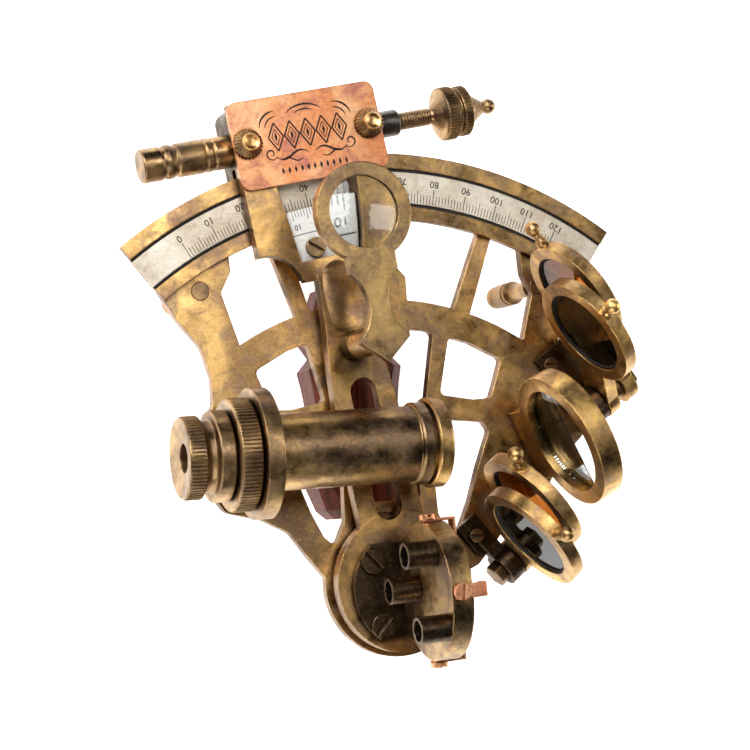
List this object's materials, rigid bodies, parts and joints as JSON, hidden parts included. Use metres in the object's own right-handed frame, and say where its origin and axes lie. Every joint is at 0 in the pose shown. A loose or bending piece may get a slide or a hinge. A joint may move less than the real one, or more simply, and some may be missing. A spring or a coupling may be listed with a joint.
{
  "type": "nautical sextant",
  "caption": "Brass nautical sextant on three feet, with divided arc, clamped index arm, telescope, mirrors, shades, magnifier and wooden grip.",
  "frame": {"origin": "on the index arm's pivot axis, in the plane of the three feet", "axes": "+Z out of the arc's face, +Y from the pivot to the middle of the arc, +X along the telescope's line of sight, away from its eyepiece"},
  "size_m": [0.1416, 0.1555, 0.0783],
  "materials": {
    "brass": "aged, brushed, with brown and purple patina",
    "bronze": "dark antique bronze",
    "copper": "polished copper with tarnish",
    "silvered": "silvered, fine matte",
    "steel": "darkened",
    "wood": "oiled rosewood",
    "lens": "clear",
    "mirror": "silvered glass",
    "amber": "amber filter glass",
    "dark": "dark filter glass"
  },
  "bodies": {
    "frame": {"frame": "brass", "limb": "brass", "scale": "silvered", "left_foot": "bronze", "right_foot": "bronze", "lower_foot": "bronze", "centre_bearing": "bronze", "grip": "wood", "grip_rod": "steel", "grip_nuts": "bronze", "upper_bracket": "bronze", "lower_bracket": "bronze", "frame_screws": "bronze", "telescope_holder": "bronze", "telescope_tube": "brass", "objective_ring": "brass", "objective_lens": "lens", "horizon_ring": "brass", "horizon_glass": "lens", "horizon_silver": "mirror", "index_shade_bracket": "bronze", "index_shade_bolt": "bronze", "horizon_shade_bracket": "bronze", "horizon_shade_bolt": "bronze"},
    "index_arm": {"pivot_shaft": "steel", "pivot_nut": "steel", "index_arm": "brass", "vernier": "silvered", "vernier_screws": "bronze", "clamp_box": "bronze", "cover_plate": "copper", "spring_barrel": "bronze", "plunger_spring": "steel", "tangent_bush": "steel", "magnifier_post": "bronze", "mirror_base": "bronze", "mirror_base_screws": "bronze", "mirror_plate": "brass", "mirror_sockets": "bronze", "socket_screws": "bronze", "mirror_clips": "copper", "index_glass": "mirror"},
    "cover_screw_left": {"cover_screw_left": "bronze"},
    "cover_screw_right": {"cover_screw_right": "bronze"},
    "clamp_slider": {"clamp_slider": "bronze", "plunger": "steel"},
    "tangent_screw": {"tangent_screw": "bronze"},
    "magnifier": {"magnifier_arm": "brass", "magnifier_lens": "lens"},
    "lock_ring": {"lock_ring": "bronze"},
    "eyepiece": {"eyepiece": "bronze", "eyepiece_lens": "lens"},
    "index_shade_dark": {"index_shade_dark": "brass", "index_dark_glass": "dark"},
    "index_shade_amber": {"index_shade_amber": "brass", "index_amber_glass": "amber"},
    "horizon_shade_dark": {"horizon_shade_dark": "brass", "horizon_dark_glass": "dark"},
    "horizon_shade_amber": {"horizon_shade_amber": "brass", "horizon_amber_glass": "amber"}
  },
  "joints": [
    {"name": "index_swing", "type": "hinge", "parent": "frame", "child": "index_arm", "pos_m": [0, 0, 0.032], "axis": [0, 0, 1], "range_deg": [-23.5, 21.3]},
    {"name": "cover_screw_left_turn", "type": "hinge", "parent": "index_arm", "child": "cover_screw_left", "pos_m": [-0.03527, 0.11681, 0.036], "axis": [0, 0, 1], "range_deg": [0, 360]},
    {"name": "cover_screw_right_turn", "type": "hinge", "parent": "index_arm", "child": "cover_screw_right", "pos_m": [-0.00127, 0.12201, 0.036], "axis": [0, 0, 1], "range_deg": [0, 360]},
    {"name": "clamp_slide", "type": "slide", "parent": "index_arm", "child": "clamp_slider", "axis": [0.9885, 0.1513, 0], "range_m": [-0.0021, 0.0021], "deforming": ["plunger_spring"]},
    {"name": "tangent_turn", "type": "hinge", "parent": "clamp_slider", "child": "tangent_screw", "pos_m": [0.01138, 0.12395, 0.03], "axis": [0.9885, 0.1513, 0], "range_deg": [-960, 960]},
    {"name": "magnifier_swing", "type": "hinge", "parent": "index_arm", "child": "magnifier", "pos_m": [-0.00962, 0.06287, 0.042], "axis": [0, 0, 1], "range_deg": [-12, 45]},
    {"name": "lock_ring_turn", "type": "hinge", "parent": "frame", "child": "lock_ring", "pos_m": [-0.0485, 0.0356, 0.054], "axis": [1, 0, 0], "range_deg": [-180, 180]},
    {"name": "eyepiece_draw", "type": "slide", "parent": "frame", "child": "eyepiece", "axis": [-1, 0, 0], "range_m": [0, 0.006]},
    {"name": "index_dark_swing", "type": "hinge", "parent": "frame", "child": "index_shade_dark", "pos_m": [0.0349, 0.0045, 0.031], "axis": [0.7826, 0.6225, 0], "range_deg": [-8, 100]},
    {"name": "index_amber_swing", "type": "hinge", "parent": "frame", "child": "index_shade_amber", "pos_m": [0.0349, 0.0045, 0.031], "axis": [0.7826, 0.6225, 0], "range_deg": [-4, 115]},
    {"name": "horizon_dark_swing", "type": "hinge", "parent": "frame", "child": "horizon_shade_dark", "pos_m": [0.0615, 0.0453, 0.037], "axis": [0.829, 0.5592, 0], "range_deg": [-2, 110]},
    {"name": "horizon_amber_swing", "type": "hinge", "parent": "frame", "child": "horizon_shade_amber", "pos_m": [0.0615, 0.0453, 0.037], "axis": [0.829, 0.5592, 0], "range_deg": [-1, 130]}
  ],
  "couplings": [
    {"joint": "clamp_slide", "follows": "tangent_turn", "m_per_rad": 0.00011937}
  ]
}
